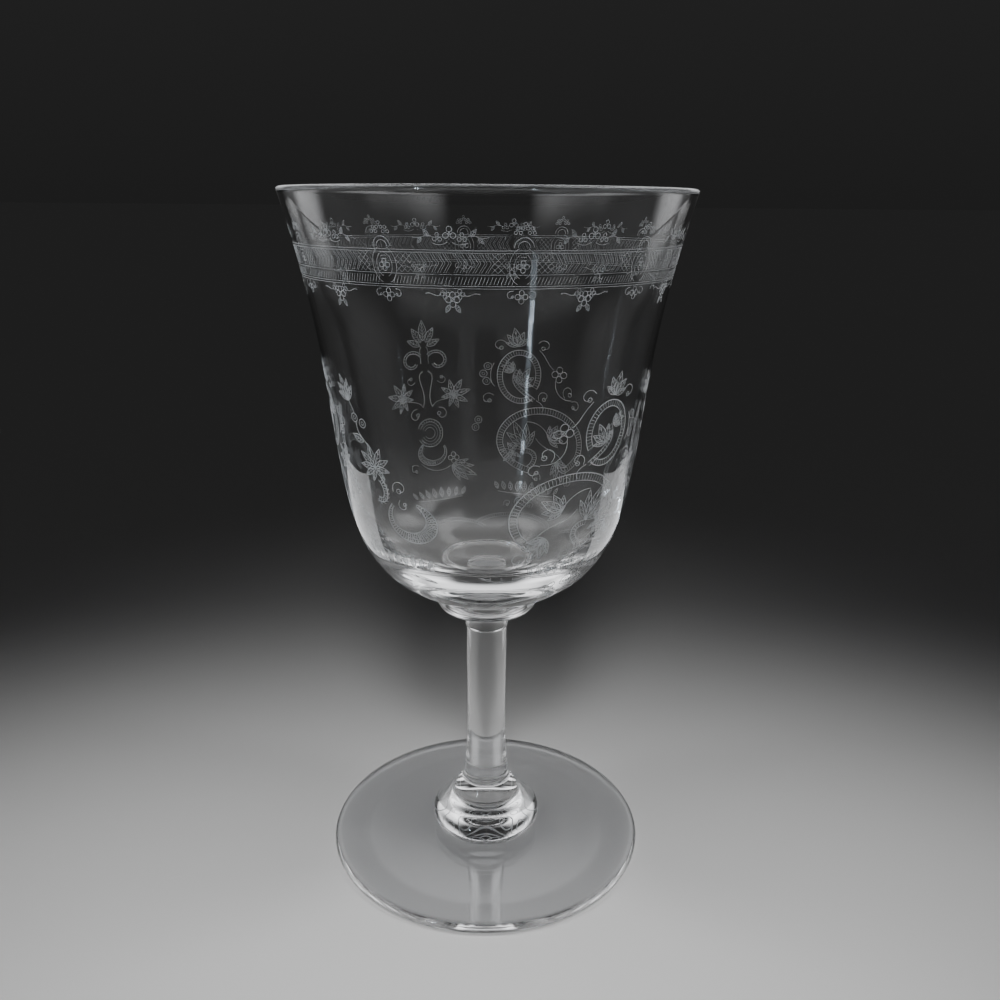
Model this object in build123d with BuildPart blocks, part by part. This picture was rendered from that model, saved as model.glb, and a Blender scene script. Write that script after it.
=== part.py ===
"""Stemmed wine glass in clear crystal.

Every piece is a body of revolution about +Z and is joined hot to the piece below it, so
neighbours meet face to face. The origin is the centre of the foot, on the plane it rests on.
Lengths are millimetres, and every outline is drawn as (radius, height) on the XZ plane.
"""
from build123d import *
import os

os.makedirs("parts", exist_ok=True)

# Overall size
GLASS_HEIGHT = 146.0
RIM_RADIUS = 40.4
FOOT_RADIUS = 35.8

# Foot: a flat disc with a round edge, hollowed underneath so that it rests on a ring
FOOT_EDGE_THICKNESS = 2.2
FOOT_TOP = 2.8
HOLLOW_DEPTH = 0.7
HOLLOW_RADIUS = 28.0
REST_RING_OUTER_RADIUS = FOOT_RADIUS - FOOT_EDGE_THICKNESS / 2

# Knop: a flattened button that sits on the foot
KNOP_RADIUS = 12.4
KNOP_WIDEST_HEIGHT = 5.1
KNOP_SEAT_RADIUS = 10.8
KNOP_SHOULDER_RADIUS = 10.3
KNOP_SHOULDER_HEIGHT = 8.6
KNOP_TOP = 10.5

# Lower collar: a small bell between the knop and the stem
COLLAR_FOOT_RADIUS = 7.5
COLLAR_MIDDLE_RADIUS = 6.7
COLLAR_MIDDLE_HEIGHT = 12.9
COLLAR_TOP = 14.9

# Stem: drawn straight, with a gentle flare at its lower end
STEM_FOOT_RADIUS = 5.3
STEM_FLARE_RADIUS = 4.6
STEM_FLARE_HEIGHT = 22.4
STEM_WAIST_RADIUS = 4.35
STEM_WAIST_HEIGHT = 39.0
STEM_TOP_RADIUS = 4.4
STEM_TOP = 53.5

# Neck ring: a low barrel-shaped ring under the merese
NECK_RADIUS = 4.75
NECK_BULGE = 0.1
NECK_TOP = 57.0

# Merese: a round-edged disc that carries the bowl
MERESE_UNDERSIDE_RADIUS = 10.2
MERESE_UNDERSIDE_HEIGHT = 58.4
MERESE_EDGE_RADIUS = 10.95
MERESE_EDGE_HEIGHT = 59.5
MERESE_RADIUS = 11.2
MERESE_TOP = 61.8

# Bowl: a tulip that flares to the rim, thin at the lip and heavy in its base
BOWL_FLOOR = 68.7
LIP_THICKNESS = 0.95
LIP_ROUND = 0.35
BOWL_OUTSIDE = [
    (15.9, 63.95),
    (20.5, 67.1),
    (24.3, 71.2),
    (27.4, 77.2),
    (29.5, 85.0),
    (31.3, 96.5),
    (33.4, 113.0),
    (35.85, 127.4),
    (38.3, 138.0),
]
BOWL_INSIDE = [
    (8.0, 69.0),
    (14.0, 70.1),
    (21.8, 74.3),
    (25.8, 81.0),
    (28.8, 92.0),
    (31.3, 108.0),
    (34.8, 127.4),
]
BASE_SLOPE = (1, 0.42)
FLOOR_SLOPE = (1, 0)
LIP_SLOPE = (0.29, 1)
UNIT_SPEED = [1, 1]


with BuildPart() as foot:
    with BuildSketch(Plane.XZ):
        with BuildLine():
            edge_bottom = (REST_RING_OUTER_RADIUS, 0)
            edge_middle = (FOOT_RADIUS, FOOT_EDGE_THICKNESS / 2)
            edge_top = (REST_RING_OUTER_RADIUS, FOOT_EDGE_THICKNESS)
            hollow_centre = (0, HOLLOW_DEPTH)
            hollow_middle = (HOLLOW_RADIUS / 2, HOLLOW_DEPTH * 3 / 4)
            hollow_edge = (HOLLOW_RADIUS, 0)
            ThreePointArc(hollow_centre, hollow_middle, hollow_edge)
            Line(hollow_edge, edge_bottom)
            ThreePointArc(edge_bottom, edge_middle, edge_top)
            Line(edge_top, (KNOP_SEAT_RADIUS, FOOT_TOP))
            Line((KNOP_SEAT_RADIUS, FOOT_TOP), (0, FOOT_TOP))
            Line((0, FOOT_TOP), hollow_centre)
        make_face()
    revolve(axis=Axis.Z)
foot.part.label = "foot"
export_step(foot.part, "parts/foot.step")


with BuildPart() as knop:
    with BuildSketch(Plane.XZ):
        with BuildLine():
            seat_edge = (KNOP_SEAT_RADIUS, FOOT_TOP)
            widest = (KNOP_RADIUS, KNOP_WIDEST_HEIGHT)
            shoulder = (KNOP_SHOULDER_RADIUS, KNOP_SHOULDER_HEIGHT)
            top_edge = (COLLAR_FOOT_RADIUS, KNOP_TOP)
            Line((0, FOOT_TOP), seat_edge)
            bulge = ThreePointArc(seat_edge, widest, shoulder)
            TangentArc(shoulder, top_edge, tangent=bulge % 1)
            Line(top_edge, (0, KNOP_TOP))
            Line((0, KNOP_TOP), (0, FOOT_TOP))
        make_face()
    revolve(axis=Axis.Z)
knop.part.label = "knop"
export_step(knop.part, "parts/knop.step")


with BuildPart() as lower_collar:
    with BuildSketch(Plane.XZ):
        with BuildLine():
            collar_foot = (COLLAR_FOOT_RADIUS, KNOP_TOP)
            collar_middle = (COLLAR_MIDDLE_RADIUS, COLLAR_MIDDLE_HEIGHT)
            collar_head = (STEM_FOOT_RADIUS, COLLAR_TOP)
            Line((0, KNOP_TOP), collar_foot)
            ThreePointArc(collar_foot, collar_middle, collar_head)
            Line(collar_head, (0, COLLAR_TOP))
            Line((0, COLLAR_TOP), (0, KNOP_TOP))
        make_face()
    revolve(axis=Axis.Z)
lower_collar.part.label = "lower_collar"
export_step(lower_collar.part, "parts/lower_collar.step")


with BuildPart() as stem:
    with BuildSketch(Plane.XZ):
        with BuildLine():
            stem_foot = (STEM_FOOT_RADIUS, COLLAR_TOP)
            stem_flare = (STEM_FLARE_RADIUS, STEM_FLARE_HEIGHT)
            stem_waist = (STEM_WAIST_RADIUS, STEM_WAIST_HEIGHT)
            stem_head = (STEM_TOP_RADIUS, STEM_TOP)
            Line((0, COLLAR_TOP), stem_foot)
            Spline(stem_foot, stem_flare, stem_waist, stem_head)
            Line(stem_head, (0, STEM_TOP))
            Line((0, STEM_TOP), (0, COLLAR_TOP))
        make_face()
    revolve(axis=Axis.Z)
stem.part.label = "stem"
export_step(stem.part, "parts/stem.step")


with BuildPart() as neck_ring:
    with BuildSketch(Plane.XZ):
        with BuildLine():
            neck_foot = (NECK_RADIUS, STEM_TOP)
            neck_middle = (NECK_RADIUS + NECK_BULGE, (STEM_TOP + NECK_TOP) / 2)
            neck_head = (NECK_RADIUS, NECK_TOP)
            Line((0, STEM_TOP), neck_foot)
            ThreePointArc(neck_foot, neck_middle, neck_head)
            Line(neck_head, (0, NECK_TOP))
            Line((0, NECK_TOP), (0, STEM_TOP))
        make_face()
    revolve(axis=Axis.Z)
neck_ring.part.label = "neck_ring"
export_step(neck_ring.part, "parts/neck_ring.step")


with BuildPart() as merese:
    with BuildSketch(Plane.XZ):
        with BuildLine():
            merese_foot = (NECK_RADIUS, NECK_TOP)
            merese_underside = (MERESE_UNDERSIDE_RADIUS, MERESE_UNDERSIDE_HEIGHT)
            merese_edge = (MERESE_EDGE_RADIUS, MERESE_EDGE_HEIGHT)
            merese_rim = (MERESE_RADIUS, MERESE_TOP)
            Line((0, NECK_TOP), merese_foot)
            Line(merese_foot, merese_underside)
            ThreePointArc(merese_underside, merese_edge, merese_rim)
            Line(merese_rim, (0, MERESE_TOP))
            Line((0, MERESE_TOP), (0, NECK_TOP))
        make_face()
    revolve(axis=Axis.Z)
merese.part.label = "merese"
export_step(merese.part, "parts/merese.step")


with BuildPart() as bowl:
    with BuildSketch(Plane.XZ):
        with BuildLine():
            seat_rim = (MERESE_RADIUS, MERESE_TOP)
            lip_outside = (RIM_RADIUS, GLASS_HEIGHT - LIP_ROUND)
            lip_top = (RIM_RADIUS - LIP_THICKNESS / 2, GLASS_HEIGHT)
            lip_inside = (RIM_RADIUS - LIP_THICKNESS, GLASS_HEIGHT - LIP_ROUND)
            floor_centre = (0, BOWL_FLOOR)
            Line((0, MERESE_TOP), seat_rim)
            Spline(
                seat_rim, *BOWL_OUTSIDE, lip_outside,
                tangents=[BASE_SLOPE, LIP_SLOPE], tangent_scalars=UNIT_SPEED,
            )
            ThreePointArc(lip_outside, lip_top, lip_inside)
            Spline(
                floor_centre, *BOWL_INSIDE, lip_inside,
                tangents=[FLOOR_SLOPE, LIP_SLOPE], tangent_scalars=UNIT_SPEED,
            )
            Line(floor_centre, (0, MERESE_TOP))
        make_face()
    revolve(axis=Axis.Z)
bowl.part.label = "bowl"
export_step(bowl.part, "parts/bowl.step")
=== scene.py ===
"""Looks of the etched wine glass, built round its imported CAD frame. Metres, +Z up, -Y to the viewer.

Every glass piece is a lathe mesh turned from the outline of its own CAD node. Faces where two
pieces are fused let light straight through, so the glass reads as one body. The etched pattern
is real geometry: thin frosted lines that lie on the outside of the bowl and under the foot.
"""

import math

import bpy
import numpy as np
from mathutils import Matrix, Vector


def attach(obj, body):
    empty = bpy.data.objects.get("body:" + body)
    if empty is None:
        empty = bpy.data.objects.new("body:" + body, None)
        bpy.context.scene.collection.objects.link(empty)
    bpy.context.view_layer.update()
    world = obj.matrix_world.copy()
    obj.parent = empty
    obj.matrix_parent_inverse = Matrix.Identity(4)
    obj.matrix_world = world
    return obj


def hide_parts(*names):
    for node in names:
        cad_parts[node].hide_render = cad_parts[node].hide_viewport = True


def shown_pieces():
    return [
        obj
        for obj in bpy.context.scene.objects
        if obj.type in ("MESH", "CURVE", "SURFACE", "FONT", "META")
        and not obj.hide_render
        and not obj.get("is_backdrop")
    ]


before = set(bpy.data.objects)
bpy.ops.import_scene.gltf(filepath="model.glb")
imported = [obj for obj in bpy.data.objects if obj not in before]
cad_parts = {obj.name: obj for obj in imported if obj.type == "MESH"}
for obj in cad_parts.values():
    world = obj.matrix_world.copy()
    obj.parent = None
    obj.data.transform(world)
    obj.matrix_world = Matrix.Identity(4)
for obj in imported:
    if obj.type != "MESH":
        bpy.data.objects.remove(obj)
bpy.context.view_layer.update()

MM = 0.001
TAU = 2 * math.pi
STACK = ["foot", "knop", "lower_collar", "stem", "neck_ring", "merese", "bowl"]   # from the table up


# ---------------------------------------------------------------- outlines, read from the frame

SEAM_TOLERANCE = 1e-6     # m: a vertex this close to the plane y = 0 is on the seam
SAME_POINT = 6            # decimals of a metre to which seam points are told apart
CORNER = 0.48             # rad: a sharper turn than this is a real corner
FLAT_RATIO = 2.5          # one of two neighbouring spans that differ more than this is a straight run
RING_SPACING = 0.7 * MM   # between the rings of a lathe mesh
SEGMENTS = 256            # round the axis


def seam_outline(node):
    """The node's outline in the half plane x >= 0, y = 0, as rows (radius, height) in order."""
    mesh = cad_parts[node].data
    on_seam = {}
    for v in mesh.vertices:
        if abs(v.co.y) < SEAM_TOLERANCE and v.co.x > -SEAM_TOLERANCE:
            on_seam[v.index] = (round(max(v.co.x, 0.0), SAME_POINT), round(v.co.z, SAME_POINT))
    near = {}
    for e in mesh.edges:
        a, b = (on_seam.get(i) for i in e.vertices)
        if a and b and a != b:
            near.setdefault(a, set()).add(b)
            near.setdefault(b, set()).add(a)
    step = min((p for p, joined in near.items() if len(joined) == 1), key=lambda p: (p[1], p[0]))
    chain = [step]
    while True:
        onward = [p for p in near[step] if p not in chain]
        if not onward:
            return np.array(chain)
        step = onward[0]
        chain.append(step)


def spline_through(p, spacing):
    """Points about `spacing` apart on the cubic spline through p, by length along its chords."""
    h = np.hypot(*np.diff(p, axis=0).T)
    t = np.r_[0, np.cumsum(h)]
    n = len(p)
    s = np.linspace(0, t[-1], max(2, math.ceil(t[-1] / spacing) + 1))
    if n < 4:
        return np.column_stack([np.interp(s, t, p[:, k]) for k in (0, 1)])
    a, b = np.zeros((n, n)), np.zeros((n, 2))
    for i in range(1, n - 1):
        a[i, i - 1:i + 2] = h[i - 1], 2 * (h[i - 1] + h[i]), h[i]
        b[i] = 6 * ((p[i + 1] - p[i]) / h[i] - (p[i] - p[i - 1]) / h[i - 1])
    a[0, :3] = h[1], -h[0] - h[1], h[0]
    a[-1, -3:] = h[-1], -h[-2] - h[-1], h[-2]
    m = np.linalg.solve(a, b)
    k = np.clip(np.searchsorted(t, s, "right") - 1, 0, n - 2)
    u, v, w = (s - t[k])[:, None], (t[k + 1] - s)[:, None], h[k][:, None]
    return ((m[k] * v**3 + m[k + 1] * u**3) / (6 * w)
            + (p[k] / w - m[k] * w / 6) * v + (p[k + 1] / w - m[k + 1] * w / 6) * u)


def refined(chain, spacing=RING_SPACING):
    """The outline with even spacing, smooth along its curved runs and sharp at its corners."""
    span = np.diff(chain, axis=0)
    length = np.hypot(*span.T)
    turn = np.abs(np.diff(np.unwrap(np.arctan2(span[:, 1], span[:, 0]))))
    ratio = np.maximum(length[1:] / length[:-1], length[:-1] / length[1:])
    level = np.abs(span[:, 1]) < SEAM_TOLERANCE
    ends = (turn > CORNER) | (ratio > FLAT_RATIO) | (level[1:] != level[:-1])
    breaks = [0, *(np.flatnonzero(ends) + 1), len(chain) - 1]
    runs = [spline_through(chain[a:b + 1], spacing)[:-1] for a, b in zip(breaks, breaks[1:])]
    return np.vstack([*runs, chain[-1:]])


outline = {n: refined(seam_outline(n)) for n in STACK}


# ---------------------------------------------------------------- materials

GLASS_IOR = 1.545         # lead crystal
ETCH_IOR = 1.5


def new_material(name):
    m = bpy.data.materials.new(name)
    m.use_nodes = True
    nt = m.node_tree
    nt.nodes.clear()
    return m, nt, nt.nodes.new("ShaderNodeOutputMaterial")


def object_noise(nt, scale, detail, stretch=(1, 1, 1)):
    """Noise in the object's own metres; a stretch below 1 makes it longer along that axis."""
    where = nt.nodes.new("ShaderNodeTexCoord")
    mapping = nt.nodes.new("ShaderNodeMapping")
    mapping.inputs["Scale"].default_value = stretch
    noise = nt.nodes.new("ShaderNodeTexNoise")
    noise.inputs["Scale"].default_value = scale
    noise.inputs["Detail"].default_value = detail
    nt.links.new(where.outputs["Object"], mapping.inputs["Vector"])
    nt.links.new(mapping.outputs["Vector"], noise.inputs["Vector"])
    return noise


def mapped(nt, value, low, high, start=0.3, end=0.7):
    """The value, of which start becomes low and end becomes high."""
    r = nt.nodes.new("ShaderNodeMapRange")
    for socket, number in (("From Min", start), ("From Max", end), ("To Min", low), ("To Max", high)):
        r.inputs[socket].default_value = number
    nt.links.new(value, r.inputs["Value"])
    return r.outputs["Result"]


def crystal_material():
    """Polished crystal: soft drawing cords that run up the glass, and a trace of handling haze."""
    m, nt, out = new_material("clear_crystal")
    p = nt.nodes.new("ShaderNodeBsdfPrincipled")
    p.inputs["Base Color"].default_value = (1, 1, 1, 1)
    p.inputs["IOR"].default_value = GLASS_IOR
    p.inputs["Transmission Weight"].default_value = 1.0
    haze = object_noise(nt, scale=90, detail=4)
    nt.links.new(mapped(nt, haze.outputs["Fac"], 0.0, 0.035, 0.45, 0.8), p.inputs["Roughness"])
    cords = object_noise(nt, scale=110, detail=2, stretch=(1, 1, 0.18))
    bump = nt.nodes.new("ShaderNodeBump")
    bump.inputs["Strength"].default_value = 0.035
    bump.inputs["Distance"].default_value = 0.03 * MM
    nt.links.new(cords.outputs["Fac"], bump.inputs["Height"])
    nt.links.new(bump.outputs["Normal"], p.inputs["Normal"])
    nt.links.new(p.outputs["BSDF"], out.inputs["Surface"])
    return m


def joint_material():
    """Where two gathers are fused there is no surface: light passes straight on."""
    m, nt, out = new_material("fused_joint")
    clear = nt.nodes.new("ShaderNodeBsdfTransparent")
    nt.links.new(clear.outputs["BSDF"], out.inputs["Surface"])
    return m


def etched_material(name, low, high):
    """Frosted line: a matt acid-bitten grain. low and high bound how opaque it is, in patches."""
    m, nt, out = new_material(name)
    p = nt.nodes.new("ShaderNodeBsdfPrincipled")
    p.inputs["IOR"].default_value = ETCH_IOR
    grain = object_noise(nt, scale=5200, detail=3)
    patches = object_noise(nt, scale=260, detail=2)
    tone = nt.nodes.new("ShaderNodeValToRGB")
    tone.color_ramp.elements[0].color = (0.74, 0.77, 0.79, 1)
    tone.color_ramp.elements[1].color = (0.95, 0.96, 0.97, 1)
    nt.links.new(grain.outputs["Fac"], tone.inputs["Fac"])
    nt.links.new(tone.outputs["Color"], p.inputs["Base Color"])
    nt.links.new(mapped(nt, grain.outputs["Fac"], 0.6, 0.85), p.inputs["Roughness"])
    nt.links.new(mapped(nt, patches.outputs["Fac"], low, high), p.inputs["Alpha"])
    bump = nt.nodes.new("ShaderNodeBump")
    bump.inputs["Strength"].default_value = 0.4
    bump.inputs["Distance"].default_value = 0.02 * MM
    nt.links.new(grain.outputs["Fac"], bump.inputs["Height"])
    nt.links.new(bump.outputs["Normal"], p.inputs["Normal"])
    nt.links.new(p.outputs["BSDF"], out.inputs["Surface"])
    return m


crystal, fused = crystal_material(), joint_material()
etched = etched_material("etched_crystal", 0.45, 0.85)
worn = etched_material("etched_crystal_worn", 0.26, 0.56)     # the border and the mark under the foot


# ---------------------------------------------------------------- the glass

def mesh_object(name, verts, faces, materials, face_material=None, smooth=True):
    mesh = bpy.data.meshes.new(name)
    mesh.from_pydata([tuple(v) for v in verts], [], [tuple(f) for f in faces])
    for m in materials:
        mesh.materials.append(m)
    mesh.polygons.foreach_set("use_smooth", np.full(len(mesh.polygons), smooth))
    if face_material is not None:
        mesh.polygons.foreach_set("material_index", np.asarray(face_material, dtype=np.int32))
    mesh.update()
    obj = bpy.data.objects.new(name, mesh)
    bpy.context.scene.collection.objects.link(obj)
    return obj


def lathe(name, joint_below):
    """A closed body of revolution. joint_below is the radius at which it is fused to the piece under
    it, and round a narrower joint it keeps a bare ledge. The foot has no piece under it."""
    rings = [tuple(p) for p in outline[name]]
    if joint_below and joint_below < rings[0][0] - SEAM_TOLERANCE:
        rings.insert(0, (joint_below, rings[0][1]))
    starts_on_axis, ends_on_axis = rings[0][0] == 0, rings[-1][0] == 0
    body = rings[1 if starts_on_axis else 0:-1 if ends_on_axis else None]
    turn = np.arange(SEGMENTS) * TAU / SEGMENTS
    verts = [(r * math.cos(a), r * math.sin(a), z) for r, z in body for a in turn]
    low, high = len(verts), len(verts) + 1
    verts += [(0, 0, rings[0][1]), (0, 0, rings[-1][1])]
    neighbour = np.roll(np.arange(SEGMENTS), -1)
    faces = [(b + i, b + j, b + SEGMENTS + j, b + SEGMENTS + i)
             for b in range(0, low - SEGMENTS, SEGMENTS) for i, j in enumerate(neighbour)]
    last = low - SEGMENTS
    faces += [(low, j, i) for i, j in enumerate(neighbour)]
    faces += [(last + i, last + j, high) for i, j in enumerate(neighbour)]
    slot_of_face = [0] * (len(faces) - 2 * SEGMENTS)
    slot_of_face += [0 if starts_on_axis else 1] * SEGMENTS + [0 if ends_on_axis else 1] * SEGMENTS
    return mesh_object(name + "_crystal", verts, faces, [crystal, fused], slot_of_face)


def glass_piece(name, joint_below):
    piece = lathe(name, joint_below)
    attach(piece, "root")
    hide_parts(name)


glass_piece(STACK[0], None)
for lower, upper in zip(STACK, STACK[1:]):
    glass_piece(upper, outline[lower][-1][0])


# ---------------------------------------------------------------- surfaces that carry the etching

bowl_line = outline["bowl"]
lip = int(np.argmax(bowl_line[:, 1]))
wall = bowl_line[:lip]                       # the outside of the bowl, from its seat to the lip
wall_length = np.r_[0, np.cumsum(np.hypot(*np.diff(wall, axis=0).T))]
foot_line = outline["foot"]
HOLLOW_REACH = 25 * MM    # radius of the part of the foot's hollow that may be etched
under_foot = foot_line[foot_line[:, 0] <= HOLLOW_REACH]

ETCH_SUNK = 0.012 * MM    # the line's root is let into the glass
ETCH_PROUD = 0.018 * MM   # and its crest stands this far out
CREST_SHARE = 0.8         # width of the crest as a part of the root's
SLOPE_STEP = 0.3 * MM     # along the wall, each way, over which its slope is taken


def on_bowl(turn, reach, width_at, pts):
    """pts (right, up) in mm round the place (turn, reach) on the bowl: positions and normals.
    width_at is the radius at which the pattern has its drawn width."""
    s = reach + pts[:, 1] * MM
    r, z = (np.interp(s, wall_length, wall[:, k]) for k in (0, 1))
    ahead, behind = s + SLOPE_STEP, s - SLOPE_STEP
    dr, dz = (np.interp(ahead, wall_length, wall[:, k]) - np.interp(behind, wall_length, wall[:, k])
              for k in (0, 1))
    size = np.hypot(dr, dz)
    a = turn + pts[:, 0] * MM / width_at
    out = np.column_stack([np.sin(a) * dz / size, -np.cos(a) * dz / size, -dr / size])
    return np.column_stack([r * np.sin(a), -r * np.cos(a), z]), out


def reach_of(height):
    """Length along the wall's outside from the seat to that height above the table."""
    return float(np.interp(height, wall[:, 1], wall_length))


def radius_of(height):
    return float(np.interp(height, wall[:, 1], wall[:, 0]))


def under(pts):
    """pts (right, forward) in mm under the foot's centre: positions and normals."""
    r = np.hypot(pts[:, 0], pts[:, 1]) * MM
    z = np.interp(r, under_foot[:, 0], under_foot[:, 1])
    return np.column_stack([pts * MM, z]), np.tile((0.0, 0.0, -1.0), (len(pts), 1))


class Ribbons:
    """Collects strokes as thin closed strips that follow a surface."""

    def __init__(self):
        self.verts, self.faces, self.count = [], [], 0

    def add(self, pos, normal, width, closed):
        n = len(pos)
        ahead = np.roll(pos, -1, 0) - np.roll(pos, 1, 0)
        if not closed:
            ahead[0], ahead[-1] = pos[1] - pos[0], pos[-1] - pos[-2]
        side = np.cross(normal, ahead)
        side /= np.maximum(np.linalg.norm(side, axis=1), 1e-12)[:, None]
        half = width / 2 * MM
        low, high = -normal * ETCH_SUNK, normal * ETCH_PROUD
        root, crest = side * half, side * half * CREST_SHARE
        corners = np.stack([pos + root + low, pos + crest + high, pos - crest + high, pos - root + low], 1)
        self.verts.append(corners.reshape(-1, 3))
        i = np.arange(n if closed else n - 1)
        j = (i + 1) % n
        for k in range(4):
            m = (k + 1) % 4
            self.faces.append(self.count + np.column_stack([4 * i + k, 4 * i + m, 4 * j + m, 4 * j + k]))
        if not closed:
            end = 4 * (n - 1)
            self.faces.append(self.count + np.array([[3, 2, 1, 0], [end, end + 1, end + 2, end + 3]]))
        self.count += 4 * n

    def build(self, name, material):
        obj = mesh_object(name, np.vstack(self.verts), np.vstack(self.faces).tolist(), [material],
                          smooth=False)
        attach(obj, "root")
        return obj


# ---------------------------------------------------------------- drawing the pattern, in mm

HAIR, FINE, LINE, BOLD = 0.08, 0.11, 0.16, 0.21   # widths of a filling, a hatch, an outline and a scroll
STROKE_STEP = 0.4                        # between the points of a stroke


class Drawing:
    """Strokes on a flat sheet, x to the right and y up, each (points, width, closed)."""

    def __init__(self):
        self.strokes = []

    def path(self, pts, width=LINE, closed=False):
        self.strokes.append((np.asarray(pts, float), width, closed))

    def arc(self, x, y, r, start=0, end=360, width=LINE, tall=1.0):
        n = max(6, math.ceil(abs(math.radians(end - start)) * r / STROKE_STEP))
        a = np.radians(np.linspace(start, end, n + 1))
        pts = np.column_stack([x + r * np.cos(a), y + r * tall * np.sin(a)])
        closed = abs(end - start) >= 360
        self.path(pts[:-1] if closed else pts, width, closed)

    def curve(self, p0, p1, p2, p3, width=LINE):
        p0, p1, p2, p3 = (np.array(p, float) for p in (p0, p1, p2, p3))
        n = max(5, math.ceil((np.linalg.norm(p1 - p0) + np.linalg.norm(p2 - p1)
                              + np.linalg.norm(p3 - p2)) / STROKE_STEP))
        t = np.linspace(0, 1, n)[:, None]
        pts = p0 * (1 - t)**3 + 3 * p1 * t * (1 - t)**2 + 3 * p2 * t**2 * (1 - t) + p3 * t**3
        self.path(pts, width)
        return pts

    def spiral(self, x, y, r0, r1, start, end, width=LINE):
        """A scroll that winds from radius r0 at angle start to r1 at angle end."""
        n = max(8, math.ceil(abs(math.radians(end - start)) * (r0 + r1) / 2 / STROKE_STEP))
        a = np.radians(np.linspace(start, end, n))
        r = r0 + (r1 - r0) * np.linspace(0, 1, n) ** 0.8
        pts = np.column_stack([x + r * np.cos(a), y + r * np.sin(a)])
        self.path(pts, width)
        return pts

    def ladder(self, pts, depth, pitch, width=FINE, taper=False):
        """A second line `depth` to the left of pts, joined to it by rungs. With taper it comes close to
        pts at both ends and stands furthest off a little past the middle."""
        pts = np.asarray(pts)
        ahead = np.gradient(pts, axis=0)
        side = np.column_stack([-ahead[:, 1], ahead[:, 0]])
        side /= np.maximum(np.linalg.norm(side, axis=1), 1e-9)[:, None]
        share = np.sin(np.linspace(0.25, 1, len(pts)) ** 1.9 * math.pi * 0.95)[:, None] if taper else 1.0
        inner = pts + side * depth * share
        self.path(inner, LINE)
        s = np.r_[0, np.cumsum(np.hypot(*np.diff(pts, axis=0).T))]
        for q in np.arange(pitch, s[-1], pitch):
            a = [np.interp(q, s, pts[:, k]) for k in (0, 1)]
            b = [np.interp(q, s, inner[:, k]) for k in (0, 1)]
            self.path([a, b], width)

    def leaf(self, x, y, length, angle, fat=0.28, veins=3, width=LINE):
        """A pointed leaf from its stalk at (x, y), with a midrib and side veins."""
        t = np.linspace(0, 1, max(5, math.ceil(length / STROKE_STEP)))
        bulge = fat * length * np.sin(math.pi * t ** 0.85)
        c, s = math.cos(math.radians(angle)), math.sin(math.radians(angle))

        def place(u, v):
            return np.column_stack([x + u * c - v * s, y + u * s + v * c])

        self.path(place(t * length, bulge), width)
        self.path(place(t * length, -bulge), width)
        self.path(place(np.array([0, 0.85 * length]), np.zeros(2)), FINE)
        veins += 1
        for k in range(1, veins + 1):
            u = length * k / (veins + 1.6)
            v = fat * length * math.sin(math.pi * ((u / length + 0.16) ** 0.85)) * 0.75
            for sign in (1, -1):
                self.path(place(np.array([u, u + 0.16 * length]), np.array([0, sign * v])), FINE)

    def spray(self, x, y, length, angle, count=5, spread=110, fat=0.2):
        """Leaves that fan out from one point, the middle one longest."""
        for k in range(count):
            off = (k / (count - 1) - 0.5) * spread
            size = length * (1 - 0.35 * abs(off) / (spread / 2))
            self.leaf(x, y, size, angle + off, fat, veins=2 if size > 2.4 else 1)

    def flower(self, x, y, r, petals=4):
        for k in range(petals):
            a = math.radians(90 + 360 * k / petals)
            self.arc(x + 0.62 * r * math.cos(a), y + 0.62 * r * math.sin(a), 0.42 * r)
        self.arc(x, y, 0.16 * r)

    def curl(self, x, y, r, start, end):
        """A little scroll that ends in a round berry."""
        pts = self.spiral(x, y, r, 0.4 * r, start, end)
        self.arc(pts[-1, 0], pts[-1, 1], 0.28 * r)

    def scales(self, pts, size, width=FINE):
        """A row of small arcs, like overlapping scales, along pts."""
        pts = np.asarray(pts)
        s = np.r_[0, np.cumsum(np.hypot(*np.diff(pts, axis=0).T))]
        for q in np.arange(size, s[-1], size):
            a = np.array([np.interp(q, s, pts[:, k]) for k in (0, 1)])
            b = np.array([np.interp(min(q + 0.2, s[-1]), s, pts[:, k]) for k in (0, 1)])
            heading = math.degrees(math.atan2(*(b - a)[::-1]))
            self.arc(a[0], a[1], 0.55 * size, heading - 80, heading + 80, width)

    def placed(self, other, y=0.0, flip=False):
        """Adds other's strokes, raised by y; flip swaps their left and right."""
        for pts, width, closed in other.strokes:
            self.strokes.append((pts * (-1 if flip else 1, 1) + (0, y), width, closed))


def dense(pts, closed):
    """The same stroke with points no further apart than STROKE_STEP, so that it hugs the curve."""
    loop = np.vstack([pts, pts[:1]]) if closed else pts
    s = np.r_[0, np.cumsum(np.hypot(*np.diff(loop, axis=0).T))]
    t = np.linspace(0, s[-1], max(2, math.ceil(s[-1] / STROKE_STEP) + 1))
    fine = np.column_stack([np.interp(t, s, loop[:, k]) for k in (0, 1)])
    return fine[:-1] if closed and len(fine) > 3 else fine


def etch_on_bowl(ribbons, drawing, turn, height, width_at=None):
    """Lays the drawing on the bowl with its origin at that turn and height."""
    reach, width_at = reach_of(height), width_at or radius_of(height)
    for pts, width, closed in drawing.strokes:
        pos, normal = on_bowl(turn, reach, width_at, dense(pts, closed))
        ribbons.add(pos, normal, width, closed)


# ---------------------------------------------------------------- the motifs

def oval(x, y, wide, tall, start, end, shrink=1.0):
    """Points on an oval arc; shrink is how much smaller it is at its end, as in a scroll."""
    n = max(12, math.ceil(abs(math.radians(end - start)) * max(wide, tall) / STROKE_STEP))
    a, size = np.radians(np.linspace(start, end, n)), np.linspace(1, shrink, n)
    return np.column_stack([x + wide * size * np.cos(a), y + tall * size * np.sin(a)])


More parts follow.
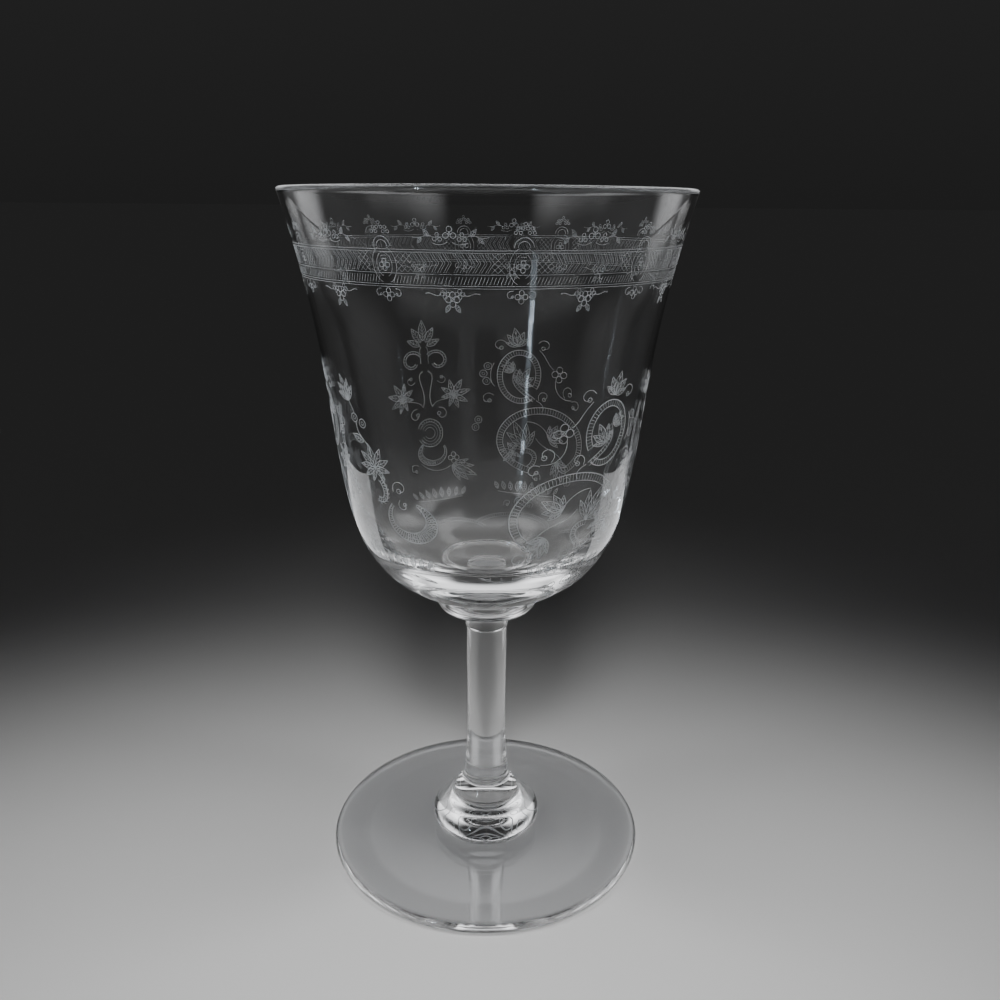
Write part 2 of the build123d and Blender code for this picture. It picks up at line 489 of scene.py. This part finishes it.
def fringe(d, x0, x1, y, length, lean):
    """A row of small leaves along the foot of a motif, leaning outwards from its middle."""
    mid, count = (x0 + x1) / 2, round((x1 - x0) / 1.75)
    for x in np.linspace(x0, x1, count):
        off = (x - mid) / (x1 - x0) * 2
        d.leaf(x, y + 0.5 * off * off, length * (1 - 0.25 * abs(off)), 90 - lean * off, 0.22, 2)
    d.curve((x0, y - 0.2), (x0 / 2, y - 0.9), (x1 / 2, y - 0.9), (x1, y - 0.2))


def ring_motif():
    """A wide laddered scroll ring with leaf sprays inside, and a narrower ring that rises from it."""
    d = Drawing()
    big = oval(-2.6, -4.4, 12.0, 8.8, 228, -78, 0.93)
    d.path(big, BOLD)
    d.ladder(big, -1.5, 0.72)
    tail = d.curve((0.2, -11.6), (-3.2, -9.0), (-1.6, -5.6), (1.8, -6.2), BOLD)
    d.ladder(tail, -1.1, 0.7)
    for x, y, length, angle, count, spread, fat in (
            (1.4, -6.0, 7.4, 62, 5, 105, 0.15), (4.6, -7.2, 3.6, -20, 6, 260, 0.17),
            (-4.4, -3.2, 5.0, 150, 5, 120, 0.19), (-7.4, -8.6, 5.6, 238, 5, 95, 0.17),
            (3.6, 9.2, 4.4, 118, 5, 130, 0.19), (5.2, 12.4, 3.4, 38, 4, 90, 0.2),
            (4.4, 18.3, 4.4, 78, 5, 125, 0.2)):
        d.spray(x, y, length, angle, count, spread, fat)
    d.curve((-9.8, -9.0), (-6.5, -4.8), (-4.0, -6.8), (-1.0, -3.4), LINE)
    d.curve((-4.4, -3.2), (-3.6, -0.6), (-0.6, 0.8), (1.6, 0.4), LINE)
    small = oval(3.7, 11.3, 5.5, 6.7, -125, 212, 0.86)
    d.path(small, BOLD)
    d.ladder(small, 1.2, 0.68)
    inner = d.curve((0.4, 5.2), (3.4, 7.4), (7.0, 9.0), (4.6, 12.8), LINE)
    d.ladder(inner, 0.8, 0.7)
    d.curve((-0.4, 5.6), (-2.2, 4.9), (-2.8, 3.9), (-1.9, 3.0), LINE)
    for x, y, r, start, end in ((-2.2, 6.6, 1.5, -40, 260), (-8.4, 8.4, 1.7, -60, 230),
                                (-10.6, 5.4, 1.4, 40, 330), (-1.6, 18.6, 1.6, 20, 300),
                                (8.4, 18.4, 1.6, 160, -120), (11.0, 5.6, 1.6, 150, -130),
                                (-12.4, -13.2, 1.7, 20, 310), (-2.2, -13.2, 1.5, 200, -110)):
        d.curl(x, y, r, start, end)
    for x, y in ((11.0, 13.4), (12.0, 11.6), (11.3, 9.8), (13.2, 0.6), (13.9, -1.2)):
        d.arc(x, y, 0.85)
        d.arc(x, y, 0.35, width=FINE)
    d.curve((9.4, 8.6), (10.6, 9.4), (10.8, 12.0), (9.6, 14.2), LINE)
    d.flower(-5.6, 12.2, 1.8)
    d.curve((-4.9, 10.8), (-4.4, 8.4), (-6.4, 6.0), (-9.4, 6.6), LINE)
    d.curve((-4.2, 13.2), (-2.6, 14.0), (-2.6, 15.6), (-0.4, 17.6), LINE)
    fringe(d, -9.0, 8.0, -17.6, 3.0, 24)
    lace = oval(-0.5, -31.0, 17.0, 6.6, 162, 18)
    d.path(lace)
    d.ladder(lace, -1.3, 0.8)
    d.arc(1.2, -20.8, 1.5)
    d.arc(1.2, -20.8, 0.8, width=FINE)
    for side in (-1, 1):
        d.curl(1.2 + side * 3.6, -21.4, 1.3, 90 - side * 130, 90 + side * 170)
    return d


def horn(d, x, y, wide, tall, start, end, depth):
    """A scaled horn, thickest a little past its middle, that curls round at its far end."""
    line = oval(x, y, wide, tall, start, end, 0.84)
    d.path(line, BOLD)
    d.ladder(line, depth, 0.6, taper=True)
    for share in (0.3, 0.6):
        inward = 1 - share * depth / wide
        middle = line * inward + np.array((x, y)) * (1 - inward)
        d.scales(middle[len(line) // 3:-3], 0.75)


def candelabrum_motif():
    """A leafy finial on C-scrolls, a leaf star on each side, a scaled shell and a horn below it."""
    d, half = Drawing(), Drawing()
    half.leaf(0.5, 12.4, 3.9, 60, 0.2, 3)
    half.leaf(0.8, 11.6, 3.2, 26, 0.22, 2)
    scroll = half.spiral(3.0, 8.0, 2.3, 0.9, 150, -150, BOLD)
    half.ladder(scroll, 0.55, 0.6)
    half.curve((0.5, 11.4), (1.4, 10.6), (0.8, 9.0), (0.9, 7.4), LINE)
    half.curve((0.6, 5.6), (3.2, 4.4), (-0.6, 0.8), (1.2, -2.8), BOLD)
    half.curve((1.2, -2.8), (2.4, -0.8), (4.2, -1.8), (6.0, -0.6), LINE)
    half.spray(6.3, -0.4, 4.4, 38, 8, 300, 0.16)
    half.curl(3.3, -4.6, 1.6, 110, -190)
    half.curl(3.9, 3.6, 1.2, -160, 110)
    d.placed(half)
    d.placed(half, flip=True)
    d.leaf(0, 12.8, 4.8, 90, 0.18, 4)
    for size in (1.0, 0.8, 0.6, 0.4):
        d.path(oval(0, -9.0, 3.3 * size, 3.4 * size, 25, 335), LINE if size == 1 else FINE)
    d.scales(oval(0, -9.0, 2.9, 3.0, 30, 330), 0.7)
    horn(d, 0.2, -14.0, 4.2, 3.4, 150, 415, 1.5)
    d.curve((3.4, -16.4), (0.8, -19.2), (-2.4, -19.0), (-4.6, -17.6), LINE)
    d.spray(-5.0, -17.6, 7.0, 204, 5, 84, 0.13)
    d.flower(-5.6, -15.6, 1.4)
    d.curl(5.6, -17.6, 1.5, 150, -120)
    fringe(d, -7.0, 7.5, -26.0, 2.9, 26)
    lace = oval(0.5, -40.0, 15.0, 6.6, 160, 20)
    d.path(lace)
    d.ladder(lace, -1.3, 0.8)
    return d


def horn_motif():
    """A scaled horn with a leaf star above it, and a stalk of berries that climbs from the star."""
    d = Drawing()
    horn(d, 4.6, -5.8, 5.6, 4.8, 138, 435, 2.5)
    d.spray(-2.6, 4.2, 4.6, 105, 9, 300, 0.17)
    hook = d.curve((-1.6, 2.4), (0.6, 0.6), (0.0, -3.6), (-2.9, -2.6), BOLD)
    d.ladder(hook, -0.9, 0.6)
    d.scales(hook, 0.8)
    d.curl(2.6, 0.9, 1.7, 210, -110)
    d.curl(3.0, -2.6, 1.2, 120, 400)
    d.curve((-3.2, 6.6), (-3.2, 9.4), (-6.6, 9.2), (-6.2, 12.4), LINE)
    d.leaf(-4.8, 8.8, 3.0, 160, 0.24, 2)
    for x, y in ((-6.6, 13.2), (-4.5, 12.4)):
        d.arc(x, y, 0.85)
        d.arc(x, y, 0.35, width=FINE)
    d.spray(-7.6, 16.4, 5.0, 112, 5, 95, 0.16)
    d.curve((-6.4, 13.8), (-6.6, 15.0), (-7.2, 15.6), (-7.6, 16.4), LINE)
    column = d.curve((-12.4, -5.0), (-9.8, 1.0), (-13.4, 8.0), (-10.8, 15.0), BOLD)
    d.ladder(column, 0.8, 0.7)
    d.spray(-12.6, 3.2, 4.0, 150, 6, 220, 0.18)
    d.curl(-9.4, -2.2, 1.5, 180, -140)
    fringe(d, -9.0, 6.5, -16.4, 2.9, 26)
    lace = oval(-2.0, -30.0, 16.0, 6.6, 160, 20)
    d.path(lace)
    d.ladder(lace, -1.3, 0.8)
    d.flower(-7.4, -12.6, 1.6)
    d.curve((-6.0, -12.8), (-3.0, -14.8), (0.8, -14.8), (3.4, -13.2), LINE)
    return d


def frieze_unit(pitch):
    """One repeat of the border: a flower spray, an arch, the filled band and what hangs below."""
    d, spray = Drawing(), Drawing()
    spray.flower(0, 1.6, 1.1, 3)
    spray.flower(2.0, 0.9, 0.8, 3)
    spray.curve((2.7, 0.9), (3.8, 2.0), (4.6, 0.3), (6.2, 1.0), FINE)
    spray.curve((0.4, 0.2), (1.2, -0.4), (2.2, -0.3), (3.0, 0.1), FINE)
    spray.leaf(3.4, 1.1, 1.4, 55, 0.26, 1, FINE)
    spray.leaf(4.6, 0.9, 1.2, -50, 0.26, 1, FINE)
    d.placed(spray, y=1.1)
    d.placed(spray, y=1.1, flip=True)
    arch = pitch / 2
    for r in (1.0, 1.6):
        d.arc(arch, 0.5, r, 0, 180)
    for x in (-1.1, 0, 1.1):
        d.flower(arch + x, 3.1 + (0.7 if x == 0 else 0), 0.75, 3)
    for k in range(4):
        d.path([(arch - 0.5, -0.5 - 0.55 * k), (arch + 0.5, -0.5 - 0.55 * k)], FINE)
    for x in np.arange(0.45, pitch, 0.62):
        if abs(x - arch) > 1.3:
            d.path([(x - 0.25, -5.6), (x + 0.25, -4.35)], FINE)
    for x in np.arange(0.9, pitch, 1.05):
        off = x - arch
        if abs(off) < 2.6:
            continue
        if abs(off) < 5.4:
            for y in (-0.5, -1.57, -2.64):
                d.path([(x - 0.5, y), (x + 0.55, y - 1.07)], HAIR)
                d.path([(x + 0.55, y), (x - 0.5, y - 1.07)], HAIR)
        else:
            for left in (x - 0.5, x - 0.1):
                d.path([(left, -0.5), (left + 1.0, -2.1), (left, -3.7)], HAIR)
    for r in (1.5, 2.3):
        d.arc(arch, -2.6, r, 110, 250, FINE, tall=1.35)
        d.arc(arch, -2.6, r, -70, 70, FINE, tall=1.35)
    d.flower(arch, -2.6, 1.0)
    hang = Drawing()
    hang.flower(0, -1.8, 1.25)
    hang.flower(1.3, -0.9, 0.85)
    hang.curve((1.9, -0.9), (3.0, -1.8), (3.6, -0.3), (4.8, -0.9), LINE)
    hang.leaf(0.5, -2.7, 1.5, -58, 0.26, 1)
    d.placed(hang, y=-6.3)
    d.placed(hang, y=-6.3, flip=True)
    d.flower(arch, -7.6, 1.1)
    d.curl(arch - 1.9, -7.4, 0.9, 60, 330)
    d.curl(arch + 1.9, -7.4, 0.9, 120, -150)
    return d


TOP_LINE = 136.0 * MM            # height of the border's upper ruled line
BAND_LINES = (0.0, -0.42, -3.95, -5.85, -6.25)    # the ruled lines, mm below it
RULED_LINE_POINTS = 600
FRIEZE_REPEATS = 10
FRIEZE_TURN = math.radians(-8.4)   # of the first spray from the front
RING_TURNS = [math.radians(a) for a in (37, 159, 278)]
HORN_TURNS = [math.radians(a) for a in (-36, 88)]
CANDELABRUM_TURNS = [math.radians(209)]
RING_HEIGHT, HORN_HEIGHT, CANDELABRUM_HEIGHT = 92 * MM, 92 * MM, 99 * MM
BODY_WIDTH_AT = 29 * MM          # radius at which the motifs have their drawn width

frieze = Ribbons()
repeat = TAU / FRIEZE_REPEATS
unit = frieze_unit(radius_of(TOP_LINE) * repeat / MM)
for k in range(FRIEZE_REPEATS):
    etch_on_bowl(frieze, unit, FRIEZE_TURN + k * repeat, TOP_LINE)
border_radius = radius_of(TOP_LINE)
around = np.linspace(0, TAU, RULED_LINE_POINTS, endpoint=False) * border_radius / MM
for drop in BAND_LINES:
    line = np.column_stack([around, np.full(RULED_LINE_POINTS, drop)])
    pos, normal = on_bowl(0, reach_of(TOP_LINE), border_radius, line)
    frieze.add(pos, normal, FINE, True)
frieze.build("etched_frieze", worn)

for label, motif, turns, height in (
        ("rings", ring_motif(), RING_TURNS, RING_HEIGHT),
        ("horns", horn_motif(), HORN_TURNS, HORN_HEIGHT),
        ("candelabrum", candelabrum_motif(), CANDELABRUM_TURNS, CANDELABRUM_HEIGHT)):
    body = Ribbons()
    for turn in turns:
        etch_on_bowl(body, motif, turn, height, BODY_WIDTH_AT)
    body.build("etched_" + label, etched)


def rosette():
    """Petals and two rings etched under the middle of the foot."""
    d = Drawing()
    for k in range(10):
        a = TAU * k / 10
        d.arc(5.4 * math.cos(a), 5.4 * math.sin(a), 1.7)
        d.arc(5.4 * math.cos(a), 5.4 * math.sin(a), 0.8)
    for r in (2.4, 3.0, 7.9):
        d.arc(0, 0, r)
    d.flower(0, 0, 2.0, 6)
    return d


mark = Ribbons()
for pts, width, closed in rosette().strokes:
    pos, normal = under(dense(pts, closed))
    mark.add(pos, normal, width, closed)
mark.build("etched_rosette", worn)


# ---------------------------------------------------------------- floor, lights and camera

FLOOR_REACH = 60.0        # m from the glass to the floor's edges
AIR_GAP = 0.05 * MM       # keeps the floor off the ring that the foot rests on


def floor():
    """A pale matt sheet, far larger than the glass."""
    m, nt, out = new_material("floor")
    p = nt.nodes.new("ShaderNodeBsdfPrincipled")
    p.inputs["Roughness"].default_value = 0.85
    p.inputs["Base Color"].default_value = (0.62, 0.62, 0.62, 1)
    nt.links.new(p.outputs["BSDF"], out.inputs["Surface"])
    far = FLOOR_REACH
    corners = [(x, y, -AIR_GAP) for x, y in ((-far, -far), (far, -far), (far, far), (-far, far))]
    obj = mesh_object("floor", corners, [(0, 1, 2, 3)], [m], smooth=False)
    obj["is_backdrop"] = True
    return obj


def softbox(name, place, aim, size, power, colour=(1, 1, 1), spread=180):
    """A rectangular light at place that shines towards aim and isn't seen by the camera itself."""
    light = bpy.data.lights.new(name, "AREA")
    light.shape = "RECTANGLE"
    light.size, light.size_y = size
    light.energy = power
    light.color = colour
    light.spread = math.radians(spread)
    obj = bpy.data.objects.new(name, light)
    bpy.context.scene.collection.objects.link(obj)
    to = np.array(aim) - np.array(place)
    obj.location = place
    obj.rotation_mode = "QUATERNION"
    obj.rotation_quaternion = Vector(to).to_track_quat("-Z", "Y")
    obj.visible_camera = False
    return obj


def soften(light, edge):
    """Fades an area light out towards its edges. edge is the part of its width and height, at each
    side, over which it fades."""
    light.use_nodes = True
    nodes, links = light.node_tree.nodes, light.node_tree.links
    split = nodes.new("ShaderNodeSeparateXYZ")
    links.new(nodes.new("ShaderNodeNewGeometry").outputs["Parametric"], split.inputs["Vector"])
    both = nodes.new("ShaderNodeMath")
    both.operation = "MULTIPLY"
    for k, axis in enumerate("XY"):
        offset = nodes.new("ShaderNodeMath")
        offset.operation = "SUBTRACT"
        offset.inputs[1].default_value = 0.5
        links.new(split.outputs[axis], offset.inputs[0])
        distance = nodes.new("ShaderNodeMath")
        distance.operation = "ABSOLUTE"
        links.new(offset.outputs["Value"], distance.inputs[0])
        fade = nodes.new("ShaderNodeMapRange")
        fade.interpolation_type = "SMOOTHSTEP"
        fade.inputs["From Min"].default_value = 0.5
        fade.inputs["From Max"].default_value = 0.5 - edge
        links.new(distance.outputs["Value"], fade.inputs["Value"])
        links.new(fade.outputs["Result"], both.inputs[k])
    links.new(both.outputs["Value"], nodes["Emission"].inputs["Strength"])


floor_sheet = floor()


def receivers(name, objects):
    """A collection that a light can be limited to."""
    group = bpy.data.collections.new(name)
    for obj in objects:
        group.objects.link(obj)
    return group


on_glass, on_floor = receivers("on_glass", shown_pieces()), receivers("on_floor", [floor_sheet])
COOL, SKY, WHITE = (0.97, 0.98, 1.0), (0.74, 0.87, 1.0), (1.0, 1.0, 1.0)
EYE_HEIGHT = 0.09         # m: the panels' elevations are counted from this height on the axis


def light_panel(name, bearing, low, high, half_width, radiance, colour=COOL, distance=0.5, edge=0.36):
    """An upright panel that shines on the glass. bearing 0 is the viewer's side and 90 is +X; low and
    high are the elevations of its edges, and half_width is half the bearing that it covers. Its light
    fades out over the part `edge` of its width and height at each side, and the edges are counted
    from the middle of the fade."""
    bottom, top = (EYE_HEIGHT + distance * math.tan(math.radians(e)) for e in (low, high))
    middle = (top + bottom) / 2
    width = 2 * distance * math.tan(math.radians(half_width)) / (1 - edge)
    height = (top - bottom) / (1 - edge)
    a = math.radians(bearing)
    place = (distance * math.sin(a), -distance * math.cos(a), middle)
    power = math.pi * width * height * radiance
    light = softbox(name, place, (0, 0, middle), (width, height), power, colour)
    light.light_linking.receiver_collection = on_glass
    if edge:
        soften(light.data, edge)
    return light


# The low side panels are seen only as reflections, so they don't show through the bowl from behind.
for side, turn in (("left", -1), ("right", 1)):
    low_panel = light_panel("panel_low_" + side, turn * 84, -2, 48, 46, 0.32)
    low_panel.visible_transmission = False
    light_panel("panel_foot_" + side, turn * 107, -6, 12, 23, 0.2)
    for k, bearing in enumerate((61, 107)):
        light_panel(f"panel_high_{side}_{k}", turn * bearing, 38, 56, 23, 3.2)
    light_panel("panel_rear_" + side, turn * 147, 12, 37, 13, 1.7)
light_panel("panel_top_rear", 180, 37, 60, 42, 1.9)

# A far window with two brighter panes makes the narrow streak down the bowl's right half.
light_panel("window", -34, 3, 26, 2.4, 1.5, SKY, 0.60, 0)
light_panel("window_upper_pane", -34, 10, 15, 1.6, 40.0, SKY, 0.59, 0)
light_panel("window_lower_pane", -34, 4, 6, 0.9, 40.0, SKY, 0.59, 0)

# Cards that lie on the floor behind the glass, one on each side and facing up, brighten the lower
# sides of the bowl.
CARD_LIFT, CARD_SIZE, CARD_POWER = 0.004, (0.13, 0.15), 0.12
for side, turn in (("left", -1), ("right", 1)):
    x, y = turn * 0.15, 0.10
    card = softbox("bounce_card_" + side, (x, y, CARD_LIFT), (x, y, 1.0), CARD_SIZE, CARD_POWER, COOL)
    card.light_linking.receiver_collection = on_glass
    card.visible_transmission = False

# The floor is lit from its sides and front, so that the glass stands in an even pool of light.
FLOOR_LIGHT_SIZE, FLOOR_LIGHT_POWER, FLOOR_LIGHT_SPREAD = (0.12, 0.12), 0.066, 30
for name, place, aim in (("left", (-0.34, -0.02, 0.50), (-0.08, -0.06, 0)),
                         ("right", (0.34, -0.02, 0.50), (0.08, -0.06, 0)),
                         ("front", (0.0, -0.42, 0.45), (0, -0.06, 0))):
    light = softbox("floor_light_" + name, place, aim, FLOOR_LIGHT_SIZE, FLOOR_LIGHT_POWER, WHITE,
                    FLOOR_LIGHT_SPREAD)
    light.light_linking.receiver_collection = on_floor

WORLD_ZENITH, WORLD_HORIZON = 0.03, 0.016      # the dark surround is a little paler overhead
world = bpy.data.worlds.new("studio")
bpy.context.scene.world = world
world.use_nodes = True
wn = world.node_tree
where = wn.nodes.new("ShaderNodeTexCoord")
split = wn.nodes.new("ShaderNodeSeparateXYZ")
rise = wn.nodes.new("ShaderNodeMapRange")
rise.inputs["From Max"].default_value = 0.7
rise.inputs["To Min"].default_value = WORLD_HORIZON
rise.inputs["To Max"].default_value = WORLD_ZENITH
wn.links.new(where.outputs["Generated"], split.inputs["Vector"])
wn.links.new(split.outputs["Z"], rise.inputs["Value"])
wn.links.new(rise.outputs["Result"], wn.nodes["Background"].inputs["Color"])

CAMERA_PLACE = (2.76 * MM, -191.1 * MM, 143.1 * MM)
CAMERA_PITCH = math.radians(90 - 17.607)
CAMERA_ROLL = 0.0081
camera_data = bpy.data.cameras.new("camera")
camera_data.sensor_width = 36.0
camera_data.lens = 33.58
camera = bpy.data.objects.new("camera", camera_data)
camera_data.clip_start, camera_data.clip_end = 0.005, 200
bpy.context.scene.collection.objects.link(camera)
camera.matrix_world = (Matrix.Translation(CAMERA_PLACE) @ Matrix.Rotation(CAMERA_PITCH, 4, "X")
                       @ Matrix.Rotation(CAMERA_ROLL, 4, "Z"))
bpy.context.scene.camera = camera

# Light crosses many walls of glass before it reaches the viewer.
paths = bpy.context.scene.cycles
paths.max_bounces = paths.glossy_bounces = paths.transmission_bounces = 28
paths.transparent_max_bounces = 24
